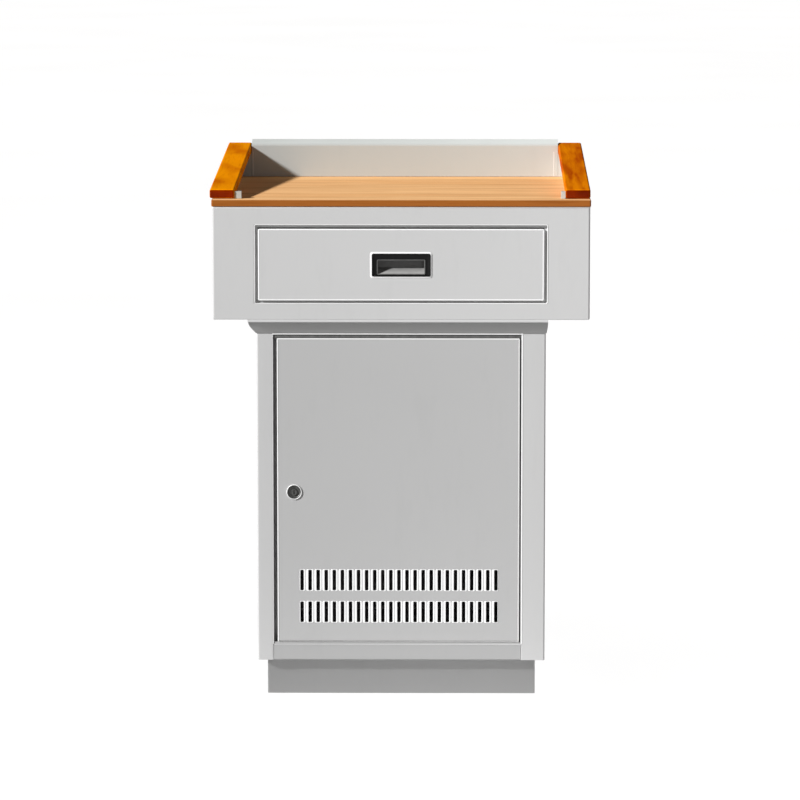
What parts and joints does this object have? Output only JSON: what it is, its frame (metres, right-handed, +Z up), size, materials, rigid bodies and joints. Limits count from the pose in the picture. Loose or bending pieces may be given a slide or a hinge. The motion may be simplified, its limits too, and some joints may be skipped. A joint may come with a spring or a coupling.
{
  "type": "checkout counter",
  "caption": "Narrow sheet-steel till counter: wide upper box with a sliding drawer, cupboard with a slotted lockable door, plinth, wooden worktop and sloping wooden armrests.",
  "frame": {"origin": "on the floor, under the middle of the counter", "axes": "+Z up, +X to the right as seen from the drawer side, +Y towards the customer side, so the drawer and door face -Y"},
  "size_m": [0.6039, 0.5, 0.8616],
  "materials": {
    "paint": "satin white-grey powder coat",
    "plinth_paint": "satin grey powder coat",
    "board": "light brown wood with a fine straight grain, satin",
    "varnish": "amber wood under a thick gloss varnish",
    "zinc": "zinc plated",
    "black_plastic": "black moulded plastic",
    "cup_metal": "dark grey metal",
    "lock_metal": "dull nickel plate"
  },
  "bodies": {
    "carcass": {"plinth_front": "plinth_paint", "plinth_back": "plinth_paint", "plinth_left": "plinth_paint", "plinth_right": "plinth_paint", "cabinet_left_side": "paint", "cabinet_right_side": "paint", "cabinet_bottom_rail": "paint", "cabinet_top_rail": "paint", "cabinet_floor": "paint", "cabinet_top_panel": "paint", "cabinet_back_panel": "paint", "collar_front": "paint", "collar_back": "paint", "collar_left": "paint", "collar_right": "paint", "shelf": "paint", "shelf_support_left": "paint", "shelf_support_right": "paint", "box_front_frame": "paint", "box_back_panel": "paint", "box_left_side": "paint", "box_right_side": "paint", "box_bottom_panel": "paint", "runner_bracket_left": "zinc", "runner_bracket_right": "zinc", "joining_bolt_1": "zinc", "joining_bolt_2": "zinc", "joining_bolt_3": "zinc", "joining_bolt_4": "zinc", "worktop": "board", "gallery_left_wall": "paint", "gallery_right_wall": "paint", "gallery_back_wall": "paint", "armrest_left": "varnish", "armrest_right": "varnish", "slide_outer_left": "zinc", "slide_outer_right": "zinc", "hinge_pin_top": "zinc", "hinge_pin_bottom": "zinc"},
    "drawer": {"drawer_front_panel": "paint", "drawer_inner_front": "paint", "drawer_base": "paint", "drawer_left_side": "paint", "drawer_right_side": "paint", "drawer_back": "paint", "pull_frame": "black_plastic", "pull_cup": "cup_metal", "slide_inner_left": "zinc", "slide_inner_right": "zinc"},
    "slide_left": {"slide_middle_left": "zinc"},
    "slide_right": {"slide_middle_right": "zinc"},
    "door": {"door_skin": "paint", "door_stiffener": "paint", "lock_barrel": "lock_metal", "lock_nut": "zinc"},
    "lock": {"lock_plug": "lock_metal", "lock_cam": "zinc", "lock_cam_screw": "zinc"}
  },
  "joints": [
    {"name": "drawer_slide", "type": "slide", "parent": "carcass", "child": "drawer", "axis": [0, -1, 0], "range_m": [0, 0.35]},
    {"name": "slide_left_travel", "type": "slide", "parent": "carcass", "child": "slide_left", "axis": [0, -1, 0], "range_m": [0, 0.175]},
    {"name": "slide_right_travel", "type": "slide", "parent": "carcass", "child": "slide_right", "axis": [0, -1, 0], "range_m": [0, 0.175]},
    {"name": "door_swing", "type": "hinge", "parent": "carcass", "child": "door", "pos_m": [0.1825, -0.2215, 0.3306], "axis": [0, 0, 1], "range_deg": [0, 105]},
    {"name": "lock_turn", "type": "hinge", "parent": "door", "child": "lock", "pos_m": [-0.171, -0.228, 0.3306], "axis": [0, -1, 0], "range_deg": [0, 90]}
  ],
  "couplings": [
    {"joint": "slide_left_travel", "follows": "drawer_slide", "ratio": 0.5},
    {"joint": "slide_right_travel", "follows": "drawer_slide", "ratio": 0.5}
  ]
}
